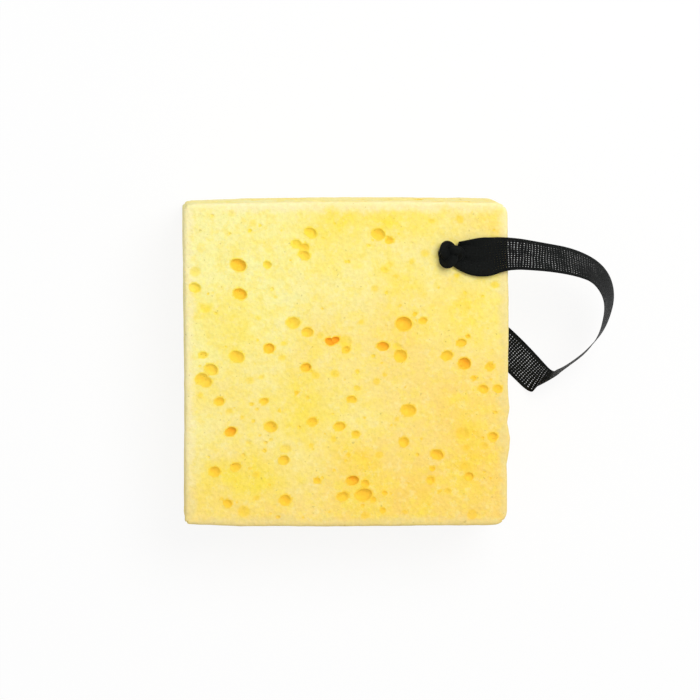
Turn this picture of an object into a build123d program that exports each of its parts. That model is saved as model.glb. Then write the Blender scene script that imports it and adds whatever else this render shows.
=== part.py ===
"""A bath sponge: a square block of foam with open bubbles in its face, hung on a loop of thin ribbon.

The sponge lies flat on its back face. Z is up, through its thickness, and the origin is the centre
of the back face. The hole for the ribbon is near the corner at +X, +Y. Sizes are in millimetres.
"""

import math
import os

from build123d import *

# --- foam block ---
face_width = 100.0
face_height = 100.0
thickness = 35.0
round_top_left = 1.2
round_top_right = 3.6
round_bottom_right = 4.2
round_bottom_left = 1.2
face_edge_round = 1.0

# --- hole for the ribbon ---
hole_from_right = 19.0
hole_from_top = 15.5
hole_radius = 2.6
hole_x = face_width / 2 - hole_from_right
hole_y = face_height / 2 - hole_from_top

# --- ribbon ---
ribbon_width = 10.2
ribbon_thickness = 0.4
gathered_width = 3.4
neck_width = 6.2
section_spacing = 3.0
foam_clearance = 0.35
grooved_shares = (0.6, 0.93)
lift_off_table = 0.1
arc_share = 0.45

# --- knot, sitting on the foam over the hole ---
knot_width = 6.2
knot_length = 8.8
knot_height = 4.2
knot_round = 1.5
knot_shift_y = 0.2

face_z = thickness
side_x = face_width / 2
table_z = lift_off_table + ribbon_thickness / 2
knot_base_z = face_z + foam_clearance
knot_side_x = hole_x + knot_width / 2
knot_y = hole_y + knot_shift_y

# Main bubbles in the face: (x, y) from the centre of the face, and the radius of the opening.
BUBBLE_SINK = 0.4
BUBBLES = [
    (-33.9, 31.3, 2.2),
    (-33.7, 22.7, 1.9),
    (-47.0, 24.7, 1.4),
    (-11.7, 41.7, 1.7),
    (9.6, 41.1, 1.8),
    (-16.9, 13.7, 1.9),
    (-12.5, 10.7, 1.5),
    (-4.6, 7.8, 1.8),
    (-24.3, 5.4, 1.6),
    (-34.3, 2.8, 2.0),
    (17.3, 12.9, 2.3),
    (11.0, 5.9, 1.6),
    (16.6, 2.9, 1.9),
    (31.2, 3.2, 1.6),
    (36.7, 0.3, 1.9),
    (-42.7, -0.8, 1.8),
    (-44.8, -4.6, 2.2),
    (-13.0, -0.7, 1.4),
    (18.8, -14.1, 2.1),
    (-2.4, -19.2, 1.5),
    (-23.9, -19.0, 1.8),
    (-36.6, -20.6, 1.6),
    (17.6, -23.8, 1.5),
    (27.8, -28.1, 1.7),
    (45.2, -22.5, 1.4),
    (-20.0, -29.6, 1.5),
    (-35.2, -31.5, 1.4),
    (-41.6, -33.0, 1.6),
    (1.3, -35.8, 1.6),
    (5.1, -40.4, 2.0),
    (-1.5, -41.0, 1.5),
    (-19.3, -42.0, 1.7),
    (-32.7, -45.0, 1.7),
]

# Route of the ribbon's middle line, from the knot round the loop and back under the foam to the knot.
# Each entry is a point and the direction across the ribbon there. The direction is turned square to
# the route, so it only has to be roughly right. The loop is placed from the block's side at +X.
ROUTE = [
    ((knot_side_x, hole_y, face_z + 1.0), (0.0, 1.0, 0.0)),
    ((hole_x + 10.0, hole_y, face_z + 1.0), (0.0, 1.0, 0.0)),
    ((side_x + 1.0, hole_y - 0.3, face_z + 1.4), (0.0, 1.0, -0.1)),
    ((side_x + 11.0, hole_y - 0.5, face_z - 0.2), (0.0, 0.9, -0.4)),
    ((side_x + 21.0, hole_y - 2.7, face_z - 3.8), (0.2, 0.75, -0.65)),
    ((side_x + 29.8, hole_y - 6.5, 26.6), (0.4, 0.4, -0.8)),
    ((side_x + 34.8, hole_y - 15.1, 21.0), (0.25, 0.1, -0.95)),
    ((side_x + 33.4, hole_y - 24.9, 15.4), (0.05, 0.0, -1.0)),
    ((side_x + 28.0, hole_y - 32.3, 10.6), (0.0, 0.0, -1.0)),
    ((side_x + 22.0, hole_y - 37.7, 6.6), (0.1, 0.0, -1.0)),
    ((side_x + 17.6, hole_y - 41.9, 6.0), (0.8, 0.55, -0.36)),
    ((side_x + 15.2, hole_y - 44.1, table_z + 0.8), (0.83, 0.56, 0.0)),
    ((side_x + 9.4, hole_y - 38.5, table_z), (0.73, 0.68, 0.0)),
    ((side_x + 1.6, hole_y - 29.9, table_z), (0.74, 0.67, 0.0)),
    ((hole_x + 11.0, hole_y - 20.5, table_z), (0.8, 0.6, 0.0)),
    ((hole_x + 4.0, hole_y - 9.5, table_z), (0.9, 0.4, 0.0)),
    ((hole_x + 0.4, hole_y - 1.4, table_z), (1.0, 0.3, 0.0)),
    ((hole_x + 0.2, hole_y + 0.1, 8.0), (1.0, 0.2, 0.0)),
    ((hole_x, hole_y, 21.0), (1.0, 0.0, 0.0)),
    ((hole_x, hole_y, knot_base_z), (1.0, 0.0, 0.0)),
]
WIDTHS = [neck_width] + [ribbon_width] * 14 + [ribbon_width * 0.75] + [gathered_width] * 4


def foam_block():
    """The block with its four upright corners rounded, each by its own radius."""
    block = Box(face_width, face_height, thickness, align=(Align.CENTER, Align.CENTER, Align.MIN))
    rounds = {
        (-1, 1): round_top_left,
        (1, 1): round_top_right,
        (1, -1): round_bottom_right,
        (-1, -1): round_bottom_left,
    }
    for (side_x, side_y), radius in rounds.items():
        corner = [
            edge
            for edge in block.edges().filter_by(Axis.Z)
            if edge.center().X * side_x > 0 and edge.center().Y * side_y > 0
            and abs(edge.center().X) > face_width / 2 - 0.01
            and abs(edge.center().Y) > face_height / 2 - 0.01
        ]
        block = fillet(corner, radius)
    rims = block.edges().group_by(Axis.Z)[0] + block.edges().group_by(Axis.Z)[-1]
    return fillet(rims, face_edge_round)


def bubble(x, y, mouth):
    """A round bubble that opens through the face with a mouth of this radius."""
    radius = mouth / math.sqrt(1 - BUBBLE_SINK**2)
    return Pos(x, y, face_z - BUBBLE_SINK * radius) * Sphere(radius)


def corner_radii(points):
    """The largest arc for each corner of the route that its two runs have room for."""
    radii = []
    for before, here, after in zip(points, points[1:], points[2:]):
        run_in = Vector(here) - Vector(before)
        run_out = Vector(after) - Vector(here)
        half_turn = math.radians(run_in.get_angle(run_out)) / 2
        shorter = min(run_in.length, run_out.length)
        radii.append(arc_share * shorter / math.tan(half_turn))
    return radii


def blend(values, share):
    """The value at this share of the route, from one value for each of its points."""
    points = [Vector(point) for point, _ in ROUTE]
    reached = [0.0]
    for start, end in zip(points, points[1:]):
        reached.append(reached[-1] + (end - start).length)
    place = share * reached[-1]
    for index in range(len(points) - 1):
        if place <= reached[index + 1] or index == len(points) - 2:
            part = (place - reached[index]) / (reached[index + 1] - reached[index])
            return values[index] * (1 - part) + values[index + 1] * part


def ribbon_section(path, share, spare):
    """The four corners of the ribbon's section at this share of the path, with spare added all round.

    Where an edge of the ribbon would dip below the table, the section is lifted to lie on it.
    """
    place = share * path.length
    centre = path.position_at(place, position_mode=PositionMode.LENGTH)
    along = path.tangent_at(place, position_mode=PositionMode.LENGTH).normalized()
    across = blend([Vector(direction) for _, direction in ROUTE], share)
    across = (across - along * across.dot(along)).normalized()
    through = along.cross(across)
    width = blend(WIDTHS, share)
    gathered = max(0.0, neck_width - width) / neck_width
    depth = ribbon_thickness * (1 + 2 * gathered)
    lowest = centre.Z - abs(across.Z) * width / 2 - abs(through.Z) * depth / 2
    centre += Vector(0, 0, max(0.0, lift_off_table - lowest))
    side = across * (width / 2 + spare)
    face = through * (depth / 2 + spare)
    return [centre + side + face, centre - side + face, centre - side - face, centre + side - face]


def ribbon_strip(path, first, last, spare=0.0):
    """The ribbon from one share of its path to another, closed by flat triangles between its sections.

    The sections are at the same places whatever the stretch, so the groove follows the ribbon exactly.
    """
    count = round(path.length / section_spacing)
    steps = range(math.floor(first * count), math.ceil(last * count) + 1)
    sections = [ribbon_section(path, step / count, spare) for step in steps]
    faces = [sections[0], sections[-1]]
    for near, far in zip(sections, sections[1:]):
        for corner in range(4):
            following = (corner + 1) % 4
            faces.append([near[corner], near[following], far[following]])
            faces.append([near[corner], far[following], far[corner]])
    return Solid(Shell([Face(Wire.make_polygon(face, close=True)) for face in faces]))


def ribbon_path():
    points = [point for point, _ in ROUTE]
    radii = corner_radii(points)
    print("corner radii", [round(radius, 1) for radius in radii])
    return FilletPolyline(*points, radius=radii)


def knot():
    """The outer shape of the knot, with a flat side that the ribbon leaves and a flat base."""
    lump = Box(knot_width, knot_length, knot_height, align=(Align.CENTER, Align.CENTER, Align.MIN))
    lump = fillet(lump.edges().filter_by(Axis.Z), knot_round)
    lump = fillet(lump.edges().group_by(Axis.Z)[-1], knot_round)
    return Pos(hole_x, knot_y, knot_base_z) * lump


def sponge(path):
    """The foam block with the groove that the ribbon presses in its back, the hole and the bubbles."""
    foam = foam_block() - ribbon_strip(path, *grooved_shares, foam_clearance)
    foam -= Pos(hole_x, hole_y, thickness / 2) * Cylinder(hole_radius, thickness + 2)
    for x, y, mouth in BUBBLES:
        foam -= bubble(x, y, mouth)
    return foam


os.makedirs("parts", exist_ok=True)
line = ribbon_path()
loop = ribbon_strip(line, 0.0, 1.0)
print("ribbon length", round(line.length, 1), "volume", round(loop.volume, 1))
print("section times length", round(ribbon_width * ribbon_thickness * line.length, 1))
export_step(sponge(line), "parts/sponge.step")
export_step(loop, "parts/ribbon_loop.step")
export_step(knot(), "parts/ribbon_knot.step")
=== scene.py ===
"""A square bath sponge of soft foam with open bubbles, and the black ribbon loop that it hangs on."""

import math
import random

import bmesh
import bpy
import numpy as np
from bpy.props import FloatProperty, FloatVectorProperty, IntProperty, PointerProperty
from mathutils import Matrix, Vector, noise


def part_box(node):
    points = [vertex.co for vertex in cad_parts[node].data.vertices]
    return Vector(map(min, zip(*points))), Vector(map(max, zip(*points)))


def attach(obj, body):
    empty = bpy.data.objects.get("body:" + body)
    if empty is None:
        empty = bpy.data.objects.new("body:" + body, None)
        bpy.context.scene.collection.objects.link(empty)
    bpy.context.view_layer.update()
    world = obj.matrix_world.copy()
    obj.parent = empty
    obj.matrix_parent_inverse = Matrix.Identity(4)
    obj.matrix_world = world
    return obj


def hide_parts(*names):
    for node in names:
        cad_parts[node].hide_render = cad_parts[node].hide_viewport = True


bl_info = {
    "name": "Bath Sponge",
    "version": (1, 0, 0),
    "blender": (4, 5, 0),
    "location": "View3D > Sidebar > Sponge",
    "description": "Builds a foam bath sponge with a ribbon loop, and a plain stage for it",
    "category": "Add Mesh",
}

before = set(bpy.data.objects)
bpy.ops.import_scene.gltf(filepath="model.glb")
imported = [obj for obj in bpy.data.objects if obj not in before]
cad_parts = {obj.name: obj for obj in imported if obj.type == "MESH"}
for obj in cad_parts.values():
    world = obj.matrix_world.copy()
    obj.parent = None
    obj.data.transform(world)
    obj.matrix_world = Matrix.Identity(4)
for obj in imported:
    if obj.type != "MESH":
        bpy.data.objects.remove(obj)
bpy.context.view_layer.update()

MM = 0.001
BODY = "root"
FOAM_LOW, FOAM_HIGH = (Vector(corner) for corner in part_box("sponge"))
KNOT_LOW, KNOT_HIGH = (Vector(corner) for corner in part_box("ribbon_knot"))
FOAM_SIZE = FOAM_HIGH - FOAM_LOW
FACE_Z = FOAM_HIGH.z
HOLE_Y = 34.5 * MM
HOLE = Vector(((KNOT_LOW.x + KNOT_HIGH.x) / 2, HOLE_Y, 0.0))

# Route of the ribbon's line, from the knot round the loop, under the foam and up the hole. Each row is a
# point in metres, the direction across the ribbon there, the ribbon's width in millimetres, and how far the
# ribbon's middle drapes off the line, in millimetres.
ROUTE = [
    ((0.0341, 0.0345, 0.0360), (0.0, 1.0, 0.0), 7.8, (-0.4, 0.1, 0.3)),
    ((0.0410, 0.0345, 0.0360), (0.0, 1.0, 0.0), 13.6, (-1.0, -1.6, 0.4)),
    ((0.0510, 0.0342, 0.0364), (0.0, 1.0, -0.1), 10.0, (-1.0, 0.7, 0.2)),
    ((0.0610, 0.0340, 0.0348), (0.0, 0.9, -0.4), 9.4, (0.0, -0.5, 0.2)),
    ((0.0710, 0.0318, 0.0312), (0.2, 0.75, -0.65), 10.2, (0.0, 0.0, 0.0)),
    ((0.0798, 0.0280, 0.0266), (0.4, 0.4, -0.8), 10.2, (0.0, 0.0, 0.0)),
    ((0.0848, 0.0194, 0.0210), (0.42, 0.12, -0.9), 10.2, (-0.6, 0.6, 0.0)),
    ((0.0834, 0.0096, 0.0154), (0.24, -0.02, -0.97), 10.2, (-0.4, 0.0, 0.0)),
    ((0.0780, 0.0022, 0.0106), (0.05, -0.08, -1.0), 10.2, (0.0, -0.2, 0.0)),
    ((0.0720, -0.0032, 0.0066), (0.1, 0.0, -1.0), 10.2, (0.0, 0.0, 0.4)),
    ((0.0676, -0.0074, 0.0060), (0.8, 0.55, -0.36), 10.0, (-1.2, 0.8, 0.0)),
    ((0.0652, -0.0096, 0.0011), (0.83, 0.56, 0.0), 10.0, (-1.4, 1.0, -0.3)),
    ((0.0594, -0.0040, 0.0003), (0.76, 0.65, 0.0), 10.6, (-0.4, 0.4, 0.0)),
    ((0.0516, 0.0046, 0.0003), (0.66, 0.75, 0.0), 10.6, (0.6, -1.2, 0.0)),
    ((0.0420, 0.0140, 0.0003), (0.76, 0.65, 0.0), 10.0, (0.0, -1.4, 0.0)),
    ((0.0350, 0.0250, 0.0003), (0.9, 0.4, 0.0), 7.6, (0.0, 0.0, 0.0)),
    ((0.0314, 0.0331, 0.0003), (1.0, 0.3, 0.0), 3.6, (0.0, 0.0, 0.0)),
    ((0.0312, 0.0346, 0.0080), (1.0, 0.2, 0.0), 3.4, (0.0, 0.0, 0.0)),
    ((0.0310, 0.0345, 0.0210), (1.0, 0.0, 0.0), 3.4, (0.0, 0.0, 0.0)),
    ((0.0310, 0.0345, 0.03535), (1.0, 0.0, 0.0), 3.4, (0.0, 0.0, 0.0)),
]
ROUTE_STEPS = 12
RIBBON_WIDTH = 10.2 * MM
TABLE_GAP = 0.1 * MM
KNOT_STRAND_HALF_WIDTH = 1.35 * MM
KNOT_STRAND_HALF_HEIGHT = 0.8 * MM

# The foam's mesh, its ripples as (height in millimetres, noise scale), and what is pressed and cut into it.
FOAM_SPACING = (0.74 * MM, 0.74 * MM, 1.2 * MM)
RIPPLES = [(0.22, 55), (0.1, 240), (0.045, 800)]
GROOVE_DEPTH = 0.75 * MM
GROOVE_FLOOR = 4.9 * MM
GROOVE_REACH = 7.0 * MM
HOLE_RADIUS = 2.2 * MM
BUBBLE_SEED = 7

# Bubbles in the front face: (x, y) from its centre and the mouth's radius, in millimetres. All of them are
# moved by the same small shift.
BUBBLE_SHIFT = (0.2, -0.25)
DEEP_BUBBLES = [
    (-34.0, 31.5, 2.2), (-33.5, 22.5, 1.9), (-24.5, 5.5, 1.6), (17.5, 13.0, 2.3), (11.0, 6.0, 1.6),
    (-13.0, -0.5, 1.4), (-36.5, -20.5, 1.6), (36.5, 0.5, 1.9), (1.5, -36.0, 1.7),
]
DEEPEST_BUBBLES = [(-5.6, 7.5, 1.3), (-3.9, 8.0, 1.2)]
OPEN_BUBBLES = [
    (-11.5, 41.5, 1.7), (-16.0, 38.0, 1.4), (-13.5, 37.0, 1.3), (-13.5, 34.5, 1.6), (-25.0, 31.5, 1.2),
    (-47.5, 24.5, 1.6), (-17.0, 13.5, 1.9), (-12.5, 10.5, 1.6), (-34.5, 3.0, 2.0), (-45.0, 3.5, 1.2),
    (-0.5, 5.0, 1.2), (9.5, 41.0, 1.9), (13.0, 39.0, 1.2), (23.5, 14.0, 1.1), (21.0, 16.0, 0.6),
    (16.5, 3.0, 1.9), (31.0, 3.0, 1.6), (35.5, 7.0, 1.3), (37.5, 9.0, 0.6), (-42.5, -1.0, 1.9),
    (-45.5, -4.0, 1.9), (-44.0, -5.0, 1.6), (-40.0, -11.0, 1.4), (-26.0, -11.0, 1.2), (-16.0, -8.5, 0.6),
    (0.5, -10.5, 0.8), (-24.0, -19.0, 1.8), (-11.0, -17.5, 1.4), (-2.5, -19.0, 1.5), (-20.0, -29.5, 1.5),
    (-41.5, -33.0, 1.6), (-35.0, -31.5, 1.4), (-9.5, -36.0, 1.0), (-1.5, -41.0, 1.6), (-37.5, -43.0, 1.3),
    (-19.5, -42.0, 1.7), (44.5, -0.5, 1.3), (39.5, -4.0, 0.7), (42.5, -7.5, 1.4), (1.5, -10.5, 1.1),
    (19.0, -14.0, 2.0), (2.5, -21.5, 1.2), (17.5, -24.0, 1.5), (45.5, -22.5, 1.4), (28.0, -28.0, 1.7),
    (26.5, -32.5, 0.8), (38.0, -35.0, 1.3), (5.5, -37.0, 1.2), (5.0, -40.5, 2.2), (8.0, -42.0, 0.8),
    (11.5, -40.0, 0.7), (11.0, -45.5, 0.9), (47.0, -7.5, 1.3), (26.0, -36.0, 1.2),
]
FAINT_BUBBLES = [
    (-36.0, 47.5, 1.2), (-29.5, 44.5, 1.2), (-47.5, 29.5, 1.6), (-44.5, 18.0, 1.6), (-28.0, 15.0, 0.8),
    (-8.5, 9.5, 1.1), (-20.0, 7.0, 0.8), (-20.5, 2.5, 1.1), (-0.5, 7.5, 1.9), (-22.5, 21.5, 0.6),
    (26.0, 45.0, 0.9), (35.0, 45.5, 1.2), (24.0, 35.0, 1.2), (13.0, 31.5, 1.1), (11.5, 30.0, 1.2),
    (15.0, 28.0, 0.7), (8.5, 24.0, 1.1), (20.0, 32.5, 0.9), (4.0, 13.5, 0.8), (15.5, 6.0, 1.2),
    (46.0, 25.0, 1.1), (34.0, 28.0, 0.8), (-4.0, -2.5, 1.2), (-10.0, -3.0, 1.2), (-27.0, -3.5, 0.8),
    (-30.5, -4.5, 1.2), (-46.0, -9.0, 0.9), (-37.0, -14.0, 1.0), (-33.0, -16.0, 0.6), (-31.0, -24.0, 0.8),
    (-24.0, -23.0, 0.6), (-19.5, -26.0, 1.5), (-11.5, -25.0, 0.7), (-4.5, -23.0, 0.9), (-28.5, -34.0, 1.0),
    (-30.5, -32.0, 0.6), (-39.5, -41.5, 0.6), (-32.5, -45.5, 1.8), (-28.5, -41.5, 0.9), (11.5, -3.0, 0.7),
    (9.0, -5.0, 1.1), (3.0, -7.0, 0.9), (15.5, -17.0, 0.8), (39.5, -21.0, 0.7), (36.0, -21.5, 1.9),
    (42.5, -25.5, 1.2), (37.0, -26.0, 0.9), (10.0, -28.0, 1.1), (36.5, -31.5, 1.1), (31.5, -39.5, 0.9),
    (5.5, -47.0, 1.2), (39.0, -47.0, 1.4), (18.0, -46.0, 0.8),
]

# Soft stains in the foam: (x, y) from the face's centre, and a half width and height, in millimetres.
STAIN_STRENGTH = 0.6
YELLOW_STAINS = [
    (-6, 41, 15, 9), (18, 44, 14, 6), (-36, 12, 10, 12), (-12, -14, 12, 9), (38, 16, 12, 10),
    (-30, -36, 9, 7),
]
OCHRE_STAINS = [
    (32, 26, 5, 4), (28, 19, 5, 4), (39, 22, 6, 5), (42, -28, 11, 13), (20, -38, 10, 8), (4, -30, 9, 6),
    (46, 43, 5, 5), (16, 9, 12, 8), (-2, 8, 10, 6),
]

# How far each side of the block stands out along its length: (place, shift) in millimetres.
SIDE_RIGHT = [(-50, 0.2), (-43, 0.2), (-36, 0.2), (-31.5, 0.05), (-27, 0.9), (-23.4, 1.2), (-18.4, 0.2),
              (-14, 0.9), (-9, 0.5), (20, 0.5), (40, 0.2), (50, 0.1)]
SIDE_LEFT = [(-50, 0.9), (-47.5, 0.6), (-42, 0.6), (-20, 0.5), (10, 0.5), (35, 0.8), (50, 0.8)]
SIDE_TOP = [(-50, -0.6), (-47, 0.1), (-30, 0.5), (-10, 0.8), (10, 0.8), (35, 0.6), (50, 0.3)]
SIDE_BOTTOM = [(-50, -0.2), (-46, 0.1), (-33, 0.6), (0, 0.8), (35, 0.8), (50, 0.6)]


def srgb(code):
    """A colour from its hex code, as the linear values that shaders use."""
    parts = [int(code[start : start + 2], 16) / 255 for start in (0, 2, 4)]
    return tuple(p / 12.92 if p <= 0.04045 else ((p + 0.055) / 1.055) ** 2.4 for p in parts)


# --- settings that a user would change ---------------------------------------------------------


def colour_property(name, description, code):
    """A colour that a user can change, with its default as a hex code."""
    return FloatVectorProperty(
        name=name, description=description, default=srgb(code), subtype="COLOR", min=0.0, max=1.0
    )


class FoamSettings(bpy.types.PropertyGroup):
    cool: colour_property("Lemon", "Foam colour towards the upper left corner", "FAF2A4")
    warm: colour_property("Butter", "Foam colour towards the lower right corner", "FCD770")
    patch: colour_property("Patches", "Stronger yellow patches in the foam", "FDE350")
    # The two edge colours are painted light and shade along the block's rounded edges: pale at the upper
    # left, tan at the lower right.
    edge: colour_property("Edges", "Foam colour along the rubbed edges", "ECD896")
    # The Honey, Amber and Orange colours are painted shade inside the bubbles, darker and warmer further
    # in; Amber also colours the ochre stains.
    shallow_bubble_shade: colour_property("Honey", "Colour inside a shallow bubble", "FDE23A")
    lit_edge: colour_property("Pale edges", "Foam colour along the upper left edges", "FDEFC0")
    ochre_and_bubble_shade: colour_property("Amber", "Colour inside an open bubble", "FFD13F")
    deep_bubble_shade: colour_property("Orange", "Colour inside the deepest bubbles", "FFAF26")
    rim: FloatProperty(
        name="Rim", description="Rounding of the block's edges", default=1.2 * MM, unit="LENGTH"
    )
    roughness: FloatProperty(
        name="Roughness", description="How matt the foam is", default=0.85, min=0.0, max=1.0
    )
    crumbs: IntProperty(
        name="Small bubbles", description="Small bubbles in each wide face", default=110, min=0
    )


class RibbonSettings(bpy.types.PropertyGroup):
    thickness: FloatProperty(
        name="Thickness", description="Thickness of the ribbon's web", default=0.14 * MM, unit="LENGTH"
    )
    selvedge: FloatProperty(
        name="Selvedge", description="Width of the closed edge band", default=0.7 * MM, unit="LENGTH"
    )
    mesh: FloatProperty(
        name="Mesh", description="Distance between the ribbon's open gaps", default=0.95 * MM, unit="LENGTH"
    )
    thread: colour_property("Thread", "Colour of the threads", "0B0D0C")
    shine: colour_property("Shine", "Colour of threads that catch the light", "262A28")


class StageSettings(bpy.types.PropertyGroup):
    distance: FloatProperty(
        name="Distance", description="Camera's distance from the face", default=1.2, unit="LENGTH"
    )
    view_width: FloatProperty(
        name="View width", description="Width seen at the face", default=0.2181, unit="LENGTH"
    )
    tilt_up: FloatProperty(
        name="Tilt up",
        description="Lean of the view towards +Y",
        default=math.radians(4.6),
        unit="ROTATION",
    )
    tilt_left: FloatProperty(
        name="Tilt left",
        description="Lean of the view towards -X",
        default=math.radians(3.0),
        unit="ROTATION",
    )
    sky: FloatProperty(name="Sky", description="Strength of the even light", default=0.57, min=0.0)
    lamp: FloatProperty(name="Lamp", description="Power of the soft lamp", default=7.5, unit="POWER")
    floor: colour_property("Floor", "Colour of the table", "FFFFFF")


# --- shader nodes as expressions ---------------------------------------------------------------


class Wire:
    """One output of a shader node. Arithmetic on it adds Math nodes."""

    def __init__(self, shader, socket):
        self.shader = shader
        self.socket = socket

    def math(self, operation, *others):
        """A Math node's result for this value and the others."""
        values = dict(enumerate((self, *others)))
        return self.shader.add("ShaderNodeMath", {"operation": operation}, values)

    def __add__(self, other):
        return self.math("ADD", other)

    __radd__ = __add__

    def __mul__(self, other):
        return self.math("MULTIPLY", other)

    __rmul__ = __mul__

    def __sub__(self, other):
        return self.math("SUBTRACT", other)

    def __rsub__(self, other):
        return self.shader.add("ShaderNodeMath", {"operation": "SUBTRACT"}, {0: other, 1: self})

    def __truediv__(self, other):
        return self.math("DIVIDE", other)

    def between(self, low, high):
        """0 below low and 1 above high, smoothly."""
        values = {0: self, 1: low, 2: high, 3: 0.0, 4: 1.0}
        return self.shader.add("ShaderNodeMapRange", {"interpolation_type": "SMOOTHSTEP"}, values)

    def clamped(self):
        """This value, kept within 0 and 1."""
        return self.math("MINIMUM", 1.0).math("MAXIMUM", 0.0)


class Shader:
    """A material that is built from calls."""

    def __init__(self, name):
        self.material = bpy.data.materials.new(name)
        self.material.use_nodes = True
        self.tree = self.material.node_tree
        self.tree.nodes.clear()

    def add(self, kind, settings=None, values=None, output=0):
        """Adds a node, sets it up, and gives one of its outputs."""
        node = self.tree.nodes.new(kind)
        for name, setting in (settings or {}).items():
            setattr(node, name, setting)
        for name, value in (values or {}).items():
            if isinstance(value, Wire):
                self.tree.links.new(value.socket, node.inputs[name])
            else:
                node.inputs[name].default_value = value
        return Wire(self, node.outputs[output]) if len(node.outputs) else node

    def mix(self, share, first, second):
        """The second colour over the first, by this share."""
        colours = [(*colour, 1.0) if isinstance(colour, tuple) else colour for colour in (first, second)]
        values = {0: share, 6: colours[0], 7: colours[1]}
        return self.add("ShaderNodeMix", {"data_type": "RGBA"}, values, 2)

    def noise(self, place, scale, detail=2.0, roughness=0.5):
        """Cloudy noise between 0 and 1."""
        values = {"Vector": place, "Scale": scale, "Detail": detail, "Roughness": roughness}
        return self.add("ShaderNodeTexNoise", {}, values)

    def parts(self, vector):
        """The x, y and z of a vector."""
        first = self.add("ShaderNodeSeparateXYZ", {}, {0: vector})
        return [Wire(self, socket) for socket in first.socket.node.outputs]

    def surface(self, values, bump=None, bump_distance=0.0001, bump_strength=1.0):
        """The finished surface. Bump is a height that varies over it."""
        if bump is not None:
            heights = {"Height": bump, "Distance": bump_distance, "Strength": bump_strength}
            values = {**values, "Normal": self.add("ShaderNodeBump", {}, heights)}
        body = self.add("ShaderNodeBsdfPrincipled", {}, values)
        self.add("ShaderNodeOutputMaterial", {}, {"Surface": body})
        return self.material


def foam_material(look):
    """Mottled lemon to butter foam, with painted light and shade along its rounded edges (pale upper left,
    tan lower right) and painted shade inside its bubbles.
    """
    shader = Shader("foam")
    place = shader.add("ShaderNodeTexCoord", {}, {}, 3)
    x, y, z = shader.parts(place)
    half = FOAM_SIZE / 2
    slope = (x * 0.7 - y) / (2.6 * half.x) + 0.5
    drift = shader.noise(place, 26.0, 3.0, 0.55) - 0.5
    warmth = (slope + drift * 1.3).between(-0.05, 1.05)
    colour = shader.mix(warmth, tuple(look.cool), tuple(look.warm))
    patches = shader.noise(place, 48.0, 4.0, 0.65).between(0.47, 0.7)
    stained = shader.add("ShaderNodeAttribute", {"attribute_name": "stain"}, {}, 2)
    colour = shader.mix((patches * 0.6 + stained).clamped(), colour, tuple(look.patch))
    ochre = shader.add("ShaderNodeAttribute", {"attribute_name": "ochre"}, {}, 2)
    colour = shader.mix(ochre * (0.4 + patches), colour, tuple(look.ochre_and_bubble_shade))
    mottle = shader.noise(place, 330.0, 3.0, 0.6).between(0.42, 0.66)
    colour = shader.mix(mottle * 0.4, colour, tuple(look.patch))
    bloom = shader.noise(place, 420.0, 4.0, 0.7).between(0.5, 0.68)
    colour = shader.mix(bloom * 0.3, colour, srgb("FCEFB4"))
    # Painted light and shade on the rounded edges: a ragged band along the edges, strongest on the front
    # face, pale towards the upper left and tan towards the lower right.
    inset = (half.x - x.math("ABSOLUTE")).math("MINIMUM", half.y - y.math("ABSOLUTE"))
    ragged = shader.noise(place, 220.0, 3.0, 0.6) * (6.0 * MM)
    lit_and_shaded = 1.0 - (inset + ragged - 3.0 * MM).between(0.4 * MM, 3.4 * MM)
    front = (z - FACE_Z).between(-1.8 * MM, -0.9 * MM)
    edge = shader.mix(slope.between(0.35, 0.7), tuple(look.lit_edge), tuple(look.edge))
    colour = shader.mix(lit_and_shaded * 0.6 * (0.35 + front * 0.65), colour, edge)
    # Painted shade inside the bubbles: a yellow tint on shallow walls, then darker and more orange deeper
    # in.
    bubble_shade = shader.add("ShaderNodeAttribute", {"attribute_name": "bubble_shade"}, {}, 2)
    shallow_bubble_shade = shader.mix(warmth, tuple(look.shallow_bubble_shade), tuple(look.ochre_and_bubble_shade))
    colour = shader.mix(bubble_shade.between(0.0, 0.3) * 0.75, colour, shallow_bubble_shade)
    colour = shader.mix(bubble_shade.between(0.3, 0.6), colour, tuple(look.ochre_and_bubble_shade))
    colour = shader.mix(bubble_shade.between(0.6, 1.05), colour, tuple(look.deep_bubble_shade))
    specks = shader.noise(place, 800.0, 1.0, 0.4).between(0.72, 0.78)
    colour = shader.mix(specks * 0.3, colour, srgb("9A8430"))
    grain = shader.noise(place, 900.0, 3.0, 0.7)
    cells = shader.add("ShaderNodeTexVoronoi", {}, {"Vector": place, "Scale": 750.0})
    tone = shader.mix(grain.between(0.3, 0.7), (0.93, 0.925, 0.89), (1.0, 1.0, 1.0))
    values = {0: 1.0, 6: colour, 7: tone}
    colour = shader.add("ShaderNodeMix", {"data_type": "RGBA", "blend_type": "MULTIPLY"}, values, 2)
    return shader.surface(
        {
            "Base Color": colour,
            "Roughness": look.roughness,
            "Specular IOR Level": 0.25,
            "Subsurface Weight": 0.15,
            "Subsurface Radius": (1.0, 0.7, 0.3),
            "Subsurface Scale": 1.5 * MM,
        },
        bump=grain * 0.6 + cells * 0.5 + shader.noise(place, 260.0, 2.0) * 0.8,
        bump_distance=0.35 * MM,
        bump_strength=0.8,
    )


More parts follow.
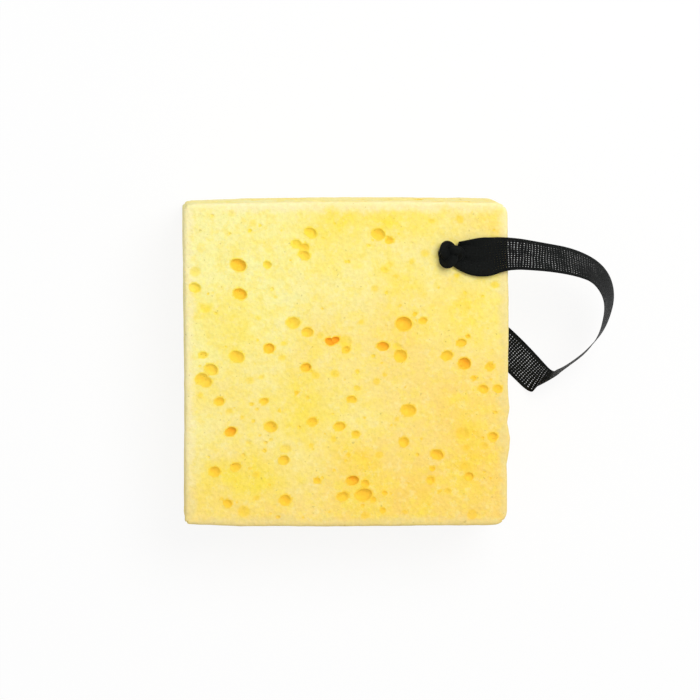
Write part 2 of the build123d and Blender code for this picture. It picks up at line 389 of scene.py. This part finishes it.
def ribbon_material(look, name="ribbon", gaps=True):
    """Black woven thread with fine open gaps between closed edge bands."""
    shader = Shader(name)
    place = shader.add("ShaderNodeUVMap", {"uv_map": "weave"})
    along, across, _ = shader.parts(place)
    pitch = look.mesh / MM
    waver = shader.noise(place, 0.35, 2.0) * 1.6
    turn = 2 * math.pi
    rows = ((along + waver * 0.5) * (turn / pitch)).math("COSINE")
    columns = ((across + waver * 0.2) * (turn / (pitch * 0.72))).math("COSINE")
    open_place = (rows * 0.5 + 0.5) * (columns * 0.38 + 0.62)
    uneven = shader.noise(place, 0.9, 4.0, 0.8) * 0.9 + shader.noise(place, 0.22, 2.0) * 0.8
    gap = (open_place * (uneven + 0.12)).between(0.57, 0.98)
    half = RIBBON_WIDTH / MM / 2
    band = half - look.selvedge / MM
    web = 1.0 - (across - half).math("ABSOLUTE").between(band - 0.3, band)
    threads = (along * (turn / 0.31)).math("SINE") + (across * (turn / 0.31)).math("SINE")
    glint = shader.noise(place, 2.2, 4.0, 0.75).between(0.5, 0.75)
    colour = shader.mix(glint * 0.7, tuple(look.thread), tuple(look.shine))
    loose = along.between(6.0, 18.0) * 0.8 + 0.2
    values = {
        "Base Color": colour,
        "Roughness": 0.5,
        "Specular IOR Level": 0.08,
        "Sheen Weight": 0.03,
        "Sheen Roughness": 0.25,
        "Sheen Tint": (0.8, 0.85, 0.9, 1.0),
    }
    if gaps:
        values["Alpha"] = 1.0 - gap * web * loose * 0.85
    return shader.surface(values, bump=threads, bump_distance=0.03 * MM, bump_strength=0.8)


def floor_material(look):
    """A white table. Seen straight, it is mostly plain white, with the object's shadow left on it."""
    shader = Shader("floor")
    path = shader.add("ShaderNodeLightPath")
    seen = path.socket.node.outputs
    straight = Wire(shader, seen["Is Camera Ray"])
    glossy = Wire(shader, seen["Is Glossy Ray"])
    through = Wire(shader, seen["Is Transmission Ray"])
    share = (straight + glossy + through).clamped() * 0.88
    plain = shader.add("ShaderNodeBsdfDiffuse", {}, {"Color": (0.9, 0.9, 0.9, 1.0)})
    white = shader.add("ShaderNodeEmission", {}, {"Color": (*look.floor, 1.0), "Strength": 1.0})
    mixed = shader.add("ShaderNodeMixShader", {}, {0: share, 1: plain, 2: white})
    shader.add("ShaderNodeOutputMaterial", {}, {"Surface": mixed})
    return shader.material


# --- geometry ----------------------------------------------------------------------------------


def add_object(name, data):
    """A new object in the scene that holds this data."""
    made = bpy.data.objects.new(name, data)
    bpy.context.scene.collection.objects.link(made)
    return made


def spline_points(points):
    """The points along a smooth spline with these control points."""
    data = bpy.data.curves.new("route", "CURVE")
    data.dimensions = "3D"
    data.resolution_u = ROUTE_STEPS
    spline = data.splines.new("NURBS")
    spline.points.add(len(points) - 1)
    for control, point in zip(spline.points, points):
        control.co = (*point, 1.0)
    spline.order_u = 3
    spline.use_endpoint_u = True
    holder = bpy.data.objects.new("route", data)
    mesh = bpy.data.meshes.new_from_object(holder)
    found = [vertex.co.copy() for vertex in mesh.vertices]
    bpy.data.meshes.remove(mesh)
    bpy.data.objects.remove(holder)
    bpy.data.curves.remove(data)
    return found


def strip_mesh(name, rings, uvs, closed=False):
    """A mesh through rings of points, one after another. A strip that isn't closed has its ends filled."""
    count = len(rings[0])
    vertices = [point for ring in rings for point in ring]
    faces = []
    corners = []
    spans = len(rings) if closed else len(rings) - 1
    for span in range(spans):
        following = (span + 1) % len(rings)
        for side in range(count):
            after = (side + 1) % count
            here = span * count
            there = following * count
            faces.append((here + side, here + after, there + after, there + side))
            corners += [uvs[span][side], uvs[span][after], uvs[following][after], uvs[following][side]]
    if not closed:
        faces += [tuple(range(count))[::-1], tuple(range((len(rings) - 1) * count, len(rings) * count))]
        corners += uvs[0][::-1] + uvs[-1]
    mesh = bpy.data.meshes.new(name)
    mesh.from_pydata(vertices, [], faces)
    layer = mesh.uv_layers.new(name="weave")
    layer.data.foreach_set("uv", np.array(corners, dtype=np.float32).ravel())
    mesh.shade_smooth()
    return mesh


def stations(points):
    """The direction along a row of points at each of them, and how far along it lies."""
    along = []
    reached = [0.0]
    for index, point in enumerate(points):
        before = points[max(index - 1, 0)]
        after = points[min(index + 1, len(points) - 1)]
        along.append((after - before).normalized())
        if index:
            reached.append(reached[-1] + (point - points[index - 1]).length)
    return along, reached


def draped_points():
    """The route's points, each moved to where the ribbon's middle drapes."""
    return [Vector(point) + Vector(drape) * MM for point, _, _, drape in ROUTE]


def ribbon_rings(look):
    """The ribbon's outline at every step of its route, with the place of each point in the weave."""
    draped = draped_points()
    centres = spline_points(draped)
    sides = spline_points([middle + Vector(row[1]) * MM for middle, row in zip(draped, ROUTE)])
    width_points = [(row[2] * MM, 0, index * MM) for index, row in enumerate(ROUTE)]
    widths = [found.x for found in spline_points(width_points)]
    along, reached = stations(centres)
    columns = np.linspace(-1, 1, 21)
    rings = []
    uvs = []
    for centre, side, width, ahead, place in zip(centres, sides, widths, along, reached):
        across = side - centre
        across = (across - ahead * across.dot(ahead)).normalized()
        through = ahead.cross(across)
        gathered = max(0.0, 1.0 - place / (14 * MM)) ** 1.5
        ripples = []
        for column in columns:
            fold = gathered * 0.55 * MM * math.sin(column * 7.5 + 0.6)
            curl = 0.25 * MM * noise.noise(Vector((place * 90, column * 0.8, 0.0)))
            ripples.append(fold + curl)
        ring = []
        marks = []
        for face in (1, -1):
            for column, ripple in list(zip(columns, ripples))[:: face]:
                edge = max(0.0, abs(column) - 0.9) / 0.1
                thick = look.thickness / 2 * (1 + 0.9 * math.sin(min(edge, 1.0) * math.pi / 1.6))
                if abs(column) == 1:
                    thick *= 0.35
                ring.append(centre + across * (column * width / 2) + through * (ripple + face * thick))
                marks.append((place / MM, (column + 1) / 2 * RIBBON_WIDTH / MM))
        lowest = min(point.z for point in ring)
        if lowest < TABLE_GAP:
            ring = [point + Vector((0, 0, TABLE_GAP - lowest)) for point in ring]
        rings.append(ring)
        uvs.append(marks)
    return rings, uvs


def knot_rings():
    """A pleated strand laid in an overhand knot, as rings round its closed line."""
    middle = Vector((HOLE.x + 1.05 * MM, HOLE.y - 0.05 * MM, FACE_Z + 2.2 * MM))
    steps = 160
    points = []
    for step in range(steps):
        turn = 2 * math.pi * step / steps
        x = math.sin(turn) + 2 * math.sin(2 * turn)
        y = math.cos(turn) - 2 * math.cos(2 * turn)
        z = -math.sin(3 * turn)
        flat = Matrix.Rotation(math.radians(-30), 2) @ Vector((x, y))
        points.append(middle + Vector((flat.x * 1.02, flat.y * 1.08, z * 0.85)) * MM)
    rings = []
    uvs = []
    count = 28
    for step, point in enumerate(points):
        ahead = (points[(step + 1) % steps] - points[step - 1]).normalized()
        across = ahead.cross(Vector((0, 0, 1))).normalized()
        through = across.cross(ahead)
        ring = []
        marks = []
        for side in range(count):
            angle = 2 * math.pi * side / count
            pleat = 1 + 0.1 * math.sin(5 * angle + 1.5 * math.sin(2 * math.pi * step / steps))
            sideways = across * (KNOT_STRAND_HALF_WIDTH * pleat * math.cos(angle))
            upwards = through * (KNOT_STRAND_HALF_HEIGHT * pleat * math.sin(angle))
            ring.append(point + sideways + upwards)
            marks.append((step * 0.18, RIBBON_WIDTH / MM * side / count))
        rings.append(ring)
        uvs.append(marks)
    return rings, uvs


def ticks(length, spacing):
    """Places from 0 to length, close together near both ends where the block's edges are rounded."""
    near = [0.0, 0.3 * MM, 0.6 * MM, 0.95 * MM, 1.4 * MM]
    inner = length - 2 * near[-1]
    count = round(inner / spacing)
    middle = [near[-1] + inner * step / count for step in range(1, count)]
    return np.array(near + middle + [length - place for place in near[::-1]])


def block_grid(counts):
    """The corners of a box's surface cut into squares, as steps along each side, and its faces."""
    across, up, deep = counts
    index = {}
    faces = []

    def corner(*steps):
        """The number of the corner at these steps, which is new if nothing used it before."""
        return index.setdefault(steps, len(index))

    def square(*corners):
        """Adds the face between four corners."""
        faces.append(tuple(corner(*steps) for steps in corners))

    for i in range(across):
        for j in range(up):
            square((i, j, deep), (i + 1, j, deep), (i + 1, j + 1, deep), (i, j + 1, deep))
            square((i, j, 0), (i, j + 1, 0), (i + 1, j + 1, 0), (i + 1, j, 0))
    for k in range(deep):
        for i in range(across):
            square((i, 0, k), (i + 1, 0, k), (i + 1, 0, k + 1), (i, 0, k + 1))
            square((i, up, k), (i, up, k + 1), (i + 1, up, k + 1), (i + 1, up, k))
        for j in range(up):
            square((0, j, k), (0, j, k + 1), (0, j + 1, k + 1), (0, j + 1, k))
            square((across, j, k), (across, j + 1, k), (across, j + 1, k + 1), (across, j, k + 1))
    return np.array(list(index)), faces


def soft_step(values, low, high):
    """0 below low and 1 above high, smoothly."""
    share = np.clip((values - low) / (high - low), 0, 1)
    return share * share * (3 - 2 * share)


def round_rims(points, half, radius):
    """Rounds every edge of the block by this radius."""
    core = np.clip(points, -(half - radius), half - radius)
    out = points - core
    length = np.linalg.norm(out, axis=1, keepdims=True)
    return core + out * radius / np.maximum(length, 1e-9)


def round_corners(points, half):
    """Rounds the four upright corners, each by its own radius."""
    rounds = {(-1, 1): 1.6 * MM, (1, 1): 3.6 * MM, (1, -1): 4.2 * MM, (-1, -1): 1.6 * MM}
    for (side_x, side_y), radius in rounds.items():
        inner = np.array([half[0] - radius, half[1] - radius])
        signs = np.array([side_x, side_y])
        out = points[:, :2] * signs - inner
        inside = (out > 0).all(axis=1)
        far = out[inside]
        length = np.linalg.norm(far, axis=1, keepdims=True)
        points[inside, :2] = (inner + far * far.max(1, keepdims=True) / length) * signs
    return points


def wave_sides(points, half):
    """Moves the sides in and out as the cut foam does, fading out towards the middle of the block."""
    moved = points.copy()
    sides = [(0, 1, SIDE_RIGHT), (0, -1, SIDE_LEFT), (1, 1, SIDE_TOP), (1, -1, SIDE_BOTTOM)]
    for axis, sign, profile in sides:
        places, shifts = np.array(profile, dtype=float).T * MM
        shift = np.interp(points[:, 1 - axis], places, shifts)
        reach = soft_step(points[:, axis] * sign, half[axis] * 0.8, half[axis])
        moved[:, axis] += sign * shift * reach
    return moved


def ripple(points, normals):
    """Soft unevenness of the foam's surface."""
    shifts = []
    for point in points:
        place = Vector(point)
        shifts.append(sum(height * noise.noise(place * scale) for height, scale in RIPPLES))
    return points + normals * (np.array(shifts) * MM)[:, None]


def press_groove(points, line):
    """Presses the shallow groove under the ribbon into the back of the foam."""
    low = points[:, 2] < 2 * MM
    near = np.array([tuple(p) for p in line if p.z < 1.5 * MM])
    for index in np.flatnonzero(low):
        gap = np.linalg.norm(near[:, :2] - points[index, :2], axis=1).min()
        points[index, 2] += GROOVE_DEPTH * float(1 - soft_step(gap, GROOVE_FLOOR, GROOVE_REACH))
    return points


def plan_bubbles(look, draw):
    """Every bubble: the face's origin and axes, its place there, mouth, depth and the strength of its
    painted shade.
    """
    half = FOAM_SIZE / 2
    centre_z = FACE_Z / 2
    faces = {
        "front": (Vector((0, 0, FACE_Z)), Vector((1, 0, 0)), Vector((0, 1, 0))),
        "back": (Vector((0, 0, 0)), Vector((1, 0, 0)), Vector((0, -1, 0))),
        "right": (Vector((half.x, 0, centre_z)), Vector((0, 1, 0)), Vector((0, 0, 1))),
        "left": (Vector((-half.x, 0, centre_z)), Vector((0, -1, 0)), Vector((0, 0, 1))),
        "top": (Vector((0, half.y, centre_z)), Vector((-1, 0, 0)), Vector((0, 0, 1))),
        "bottom": (Vector((0, -half.y, centre_z)), Vector((1, 0, 0)), Vector((0, 0, 1))),
    }
    bubbles = []
    # Each kind: its places, how deep it is cut, and how strong its painted shade is.
    kinds = [
        (DEEPEST_BUBBLES, 0.8, 1.2),
        (DEEP_BUBBLES, 0.85, 0.68),
        (OPEN_BUBBLES, 0.5, 0.5),
        (FAINT_BUBBLES, 0.18, 0.22),
    ]
    for places, depth, tint in kinds:
        for x, y, radius in places:
            # The painted shade in the bubbles grows towards the lower right.
            warmer = 1 + 0.35 * (x - y) / 100
            share = depth * draw.uniform(0.85, 1.15)
            bubble_shade_level = tint * warmer * draw.uniform(0.85, 1.1)
            spot = (x + BUBBLE_SHIFT[0]) * MM, (y + BUBBLE_SHIFT[1]) * MM
            bubbles.append(("front", *spot, radius * MM, share, bubble_shade_level))
    for _ in range(look.crumbs):
        spot = draw.uniform(-48, 48) * MM, draw.uniform(-48, 48) * MM
        radius = draw.uniform(0.25, 0.6) * MM
        bubbles.append(("front", *spot, radius, draw.uniform(0.3, 0.6), draw.uniform(0.1, 0.35)))
    for _ in range(look.crumbs):
        spot = draw.uniform(-47, 47) * MM, draw.uniform(-47, 47) * MM
        radius = draw.choice((0.5, 0.8, 1.1, 1.5, 2.0)) * draw.uniform(0.8, 1.1) * MM
        bubbles.append(("back", *spot, radius, draw.uniform(0.3, 1.1), draw.uniform(0.15, 0.8)))
    for face in ("right", "left", "top", "bottom"):
        for _ in range(look.crumbs // 3):
            spot = draw.uniform(-43, 43) * MM, draw.uniform(-13, 13) * MM
            radius = draw.choice((0.5, 0.8, 1.1, 1.5)) * draw.uniform(0.8, 1.1) * MM
            bubbles.append((face, *spot, radius, draw.uniform(0.3, 1.0), draw.uniform(0.15, 0.7)))
    return faces, bubbles


def unit_ball(fine):
    """The corners and triangles of a ball of radius 1."""
    made = bmesh.new()
    bmesh.ops.create_icosphere(made, subdivisions=fine, radius=1.0)
    made.verts.index_update()
    corners = [vertex.co.copy() for vertex in made.verts]
    faces = [[vertex.index for vertex in face.verts] for face in made.faces]
    made.free()
    return corners, faces


def bubble_cutters(look):
    """The solids that cut the bubbles, in groups that don't touch, and each bubble's place and painted
    shade.
    """
    draw = random.Random(BUBBLE_SEED)
    faces, bubbles = plan_bubbles(look, draw)
    balls = {fine: unit_ball(fine) for fine in (1, 2, 3)}
    groups = []
    marks = []
    for face, x, y, radius, share, tint in bubbles:
        origin, right, up = faces[face]
        out = right.cross(up)
        depth = radius * share
        size = (radius**2 + depth**2) / (2 * depth)
        centre = origin + right * x + up * y + out * (size - depth)
        wide = draw.uniform(1.0, 1.2)
        turned = Matrix.Rotation(draw.uniform(-0.5, 0.5), 3, out)
        axes = Matrix((right, up, out)).transposed()
        shape = turned @ axes @ Matrix.Diagonal((size * wide, size / wide, size))
        for group in groups:
            if all((centre - other).length > reach + size * 1.3 for other, reach in group["reaches"]):
                break
        else:
            group = {"reaches": [], "corners": [], "faces": []}
            groups.append(group)
        group["reaches"].append((centre, size * 1.3))
        start = len(group["corners"])
        corners, triangles = balls[3 if radius > 1.2 * MM else 2 if radius > 0.5 * MM else 1]
        for corner in corners:
            spot = centre + shape @ corner
            swell = 1 + 0.07 * noise.noise(spot / (1.1 * MM))
            group["corners"].append(centre + (spot - centre) * swell)
        group["faces"] += [[start + index for index in triangle] for triangle in triangles]
        inverse = (Matrix.Translation(centre) @ shape.to_4x4()).inverted()
        marks.append((inverse, size / radius, 0.7 if share < 0.3 else 0.98, tint))
    cutters = []
    for group in groups:
        mesh = bpy.data.meshes.new("bubbles")
        mesh.from_pydata(group["corners"], [], group["faces"])
        cutters.append(add_object("bubbles", mesh))
    return cutters, marks


def hole_cutter():
    """The solid that cuts the ribbon's hole, a little uneven and wider at its mouths."""
    steps = 30
    sides = 24
    spare = 2 * MM
    rings = []
    for step in range(steps + 1):
        height = -spare + (FACE_Z + 2 * spare) * step / steps
        mouth = 0.5 * math.exp(-((min(height, FACE_Z - height) / (2.5 * MM)) ** 2))
        ring = []
        for side in range(sides):
            angle = 2 * math.pi * side / sides
            out = Vector((math.cos(angle), math.sin(angle), 0.0))
            uneven = 0.25 * noise.noise(Vector((out.x, out.y, height * 150)))
            radius = HOLE_RADIUS + (mouth + uneven) * MM
            ring.append(Vector((HOLE.x + radius * out.x, HOLE.y + radius * out.y, height)))
        rings.append(ring)
    flat = [[(0.0, 0.0)] * sides for _ in rings]
    return add_object("hole", strip_mesh("hole", rings, flat))


def cut_away(target, cutter):
    """Takes the cutter out of the target, and removes the cutter."""
    cut = target.modifiers.new("cut", "BOOLEAN")
    cut.operation = "DIFFERENCE"
    cut.solver = "MANIFOLD"
    cut.object = cutter
    bpy.context.view_layer.update()
    done = bpy.data.meshes.new_from_object(target.evaluated_get(bpy.context.evaluated_depsgraph_get()))
    target.modifiers.clear()
    target.data = done
    data = cutter.data
    bpy.data.objects.remove(cutter)
    bpy.data.meshes.remove(data)


def mark_bubbles(mesh, marks):
    """Writes how strongly each point is tinted with painted shade as the wall of a bubble, more strongly
    further in.
    """
    count = len(mesh.vertices)
    points = np.empty(count * 3, np.float32)
    mesh.vertices.foreach_get("co", points)
    points = np.c_[points.reshape(-1, 3), np.ones(count)]
    tints = np.zeros(count)
    for inverse, widening, rim, tint in marks:
        local = points @ np.array(inverse).T
        sideways = np.linalg.norm(local[:, :2], axis=1) * widening
        # The painted shade grows with depth into the bubble.
        depth = np.clip(0.75 - 0.45 * local[:, 2], 0, 1.2)
        inside = (1 - soft_step(sideways, rim, 2.24 - rim)) * (np.abs(local[:, 2]) < 1.3)
        tints = np.maximum(tints, tint * depth * inside)
    layer = mesh.attributes.new("bubble_shade", "FLOAT", "POINT")
    layer.data.foreach_set("value", tints.astype(np.float32))
    for name, stains in (("stain", YELLOW_STAINS), ("ochre", OCHRE_STAINS)):
        strength = np.zeros(count)
        for x, y, wide, high in stains:
            away = ((points[:, 0] / MM - x) / wide) ** 2 + ((points[:, 1] / MM - y) / high) ** 2
            strength = np.maximum(strength, STAIN_STRENGTH * np.exp(-1.2 * away))
        layer = mesh.attributes.new(name, "FLOAT", "POINT")
        layer.data.foreach_set("value", strength.astype(np.float32))


def make_foam(look):
    """The foam block with its uneven sides, groove, hole and bubbles."""
    places = [ticks(FOAM_SIZE[axis], spacing) for axis, spacing in enumerate(FOAM_SPACING)]
    steps, faces = block_grid([len(row) - 1 for row in places])
    half = np.array(FOAM_SIZE) / 2
    points = np.stack([places[axis][steps[:, axis]] for axis in range(3)], axis=1) - half
    points = round_rims(points, half, look.rim)
    points = round_corners(points, half)
    points[:, 2] += half[2]
    mesh = bpy.data.meshes.new("sponge_foam")
    mesh.from_pydata(points.tolist(), [], faces)
    normals = np.empty(len(points) * 3, np.float32)
    mesh.vertices.foreach_get("normal", normals)
    points = ripple(wave_sides(points, half), normals.reshape(-1, 3))
    points[:, 2] = np.maximum(points[:, 2], 0.0)
    points = press_groove(points, spline_points(draped_points()))
    mesh.vertices.foreach_set("co", points.astype(np.float32).ravel())
    foam = add_object("sponge_foam", mesh)
    cutters, marks = bubble_cutters(look)
    cut_away(foam, hole_cutter())
    for cutter in cutters:
        cut_away(foam, cutter)
    mark_bubbles(foam.data, marks)
    foam.data.shade_smooth()
    foam.data.set_sharp_from_angle(angle=math.radians(38))
    foam.data.materials.clear()
    foam.data.materials.append(foam_material(look))
    return foam


# --- operators ---------------------------------------------------------------------------------


class SPONGE_OT_stage(bpy.types.Operator):
    """Add the camera, the lamp, the even light and the table"""

    bl_idname = "sponge.stage"
    bl_label = "Stage"

    def execute(self, context):
        look = context.scene.sponge_stage
        scene = context.scene
        scene.view_settings.view_transform = "Standard"
        aim = Vector((0.9 * MM, 4.6 * MM, FACE_Z))
        back = Vector((-math.sin(look.tilt_left), math.sin(look.tilt_up), 0.0))
        back.z = math.sqrt(1 - back.length_squared)
        up = (Vector((0, 1, 0)) - back * back.y).normalized()
        right = up.cross(back)
        data = bpy.data.cameras.new("camera")
        data.sensor_width = 36.0
        data.lens = data.sensor_width * look.distance / look.view_width
        data.clip_start = 0.05
        data.clip_end = 20.0
        camera = add_object("camera", data)
        turned = Matrix((right, up, back)).transposed().to_4x4()
        camera.matrix_world = Matrix.Translation(aim + back * look.distance) @ turned
        scene.camera = camera

        lamp = bpy.data.lights.new("soft_lamp", "AREA")
        lamp.shape = "DISK"
        lamp.size = 0.7
        lamp.energy = look.lamp
        light = add_object("soft_lamp", lamp)
        light.location = (0.35, 0.45, 0.95)
        light.rotation_euler = (Vector((0, 0, 0)) - light.location).to_track_quat("-Z", "Y").to_euler()

        world = bpy.data.worlds.new("even_light")
        world.use_nodes = True
        sky = world.node_tree.nodes["Background"]
        sky.inputs["Color"].default_value = (1.0, 1.0, 1.0, 1.0)
        sky.inputs["Strength"].default_value = look.sky
        scene.world = world

        floor = bpy.data.meshes.new("table")
        reach = 3.0
        corners = [(-reach, -reach, 0), (reach, -reach, 0), (reach, reach, 0), (-reach, reach, 0)]
        floor.from_pydata(corners, [], [(0, 1, 2, 3)])
        floor.materials.append(floor_material(look))
        table = add_object("table", floor)
        table.location.z = -0.05 * MM
        return {"FINISHED"}


class SPONGE_OT_foam(bpy.types.Operator):
    """Add the foam block with its bubbles"""

    bl_idname = "sponge.foam"
    bl_label = "Foam block"

    def execute(self, context):
        foam = make_foam(context.scene.sponge_foam)
        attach(foam, BODY)
        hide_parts("sponge")
        return {"FINISHED"}


class SPONGE_OT_ribbon(bpy.types.Operator):
    """Add the ribbon loop and the knot that closes it"""

    bl_idname = "sponge.ribbon"
    bl_label = "Ribbon and knot"

    def execute(self, context):
        look = context.scene.sponge_ribbon
        rings, uvs = knot_rings()
        knot = add_object("knot_wraps", strip_mesh("knot_wraps", rings, uvs, closed=True))
        knot.data.materials.append(ribbon_material(look, "knot_ribbon", gaps=False))
        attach(knot, BODY)
        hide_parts("ribbon_knot")

        rings, uvs = ribbon_rings(look)
        ribbon = add_object("ribbon_band", strip_mesh("ribbon_band", rings, uvs))
        ribbon.data.materials.append(ribbon_material(look))
        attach(ribbon, BODY)
        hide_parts("ribbon_loop")
        spline_points([row[0] for row in ROUTE])
        return {"FINISHED"}


class SPONGE_PT_panel(bpy.types.Panel):
    """Lists the sponge's pieces"""

    bl_idname = "SPONGE_PT_panel"
    bl_label = "Bath Sponge"
    bl_space_type = "VIEW_3D"
    bl_region_type = "UI"
    bl_category = "Sponge"

    def draw(self, context):
        for operator in OPERATORS:
            self.layout.operator(operator.bl_idname)
        for settings in ("sponge_foam", "sponge_ribbon", "sponge_stage"):
            group = getattr(context.scene, settings)
            for name in group.__annotations__:
                self.layout.prop(group, name)


SETTINGS = {"sponge_foam": FoamSettings, "sponge_ribbon": RibbonSettings, "sponge_stage": StageSettings}
OPERATORS = (SPONGE_OT_stage, SPONGE_OT_ribbon, SPONGE_OT_foam)


def register():
    """Adds the classes and their settings."""
    for made in (*SETTINGS.values(), *OPERATORS, SPONGE_PT_panel):
        bpy.utils.register_class(made)
    for name, group in SETTINGS.items():
        setattr(bpy.types.Scene, name, PointerProperty(type=group))


def unregister():
    """Removes the settings and the classes."""
    for name in SETTINGS:
        delattr(bpy.types.Scene, name)
    for made in (SPONGE_PT_panel, *OPERATORS, *SETTINGS.values()):
        bpy.utils.unregister_class(made)


def main():
    """Builds the stage and the sponge."""
    register()
    bpy.ops.sponge.stage()
    bpy.ops.sponge.ribbon()
    bpy.ops.sponge.foam()


if __name__ == "__main__":
    main()
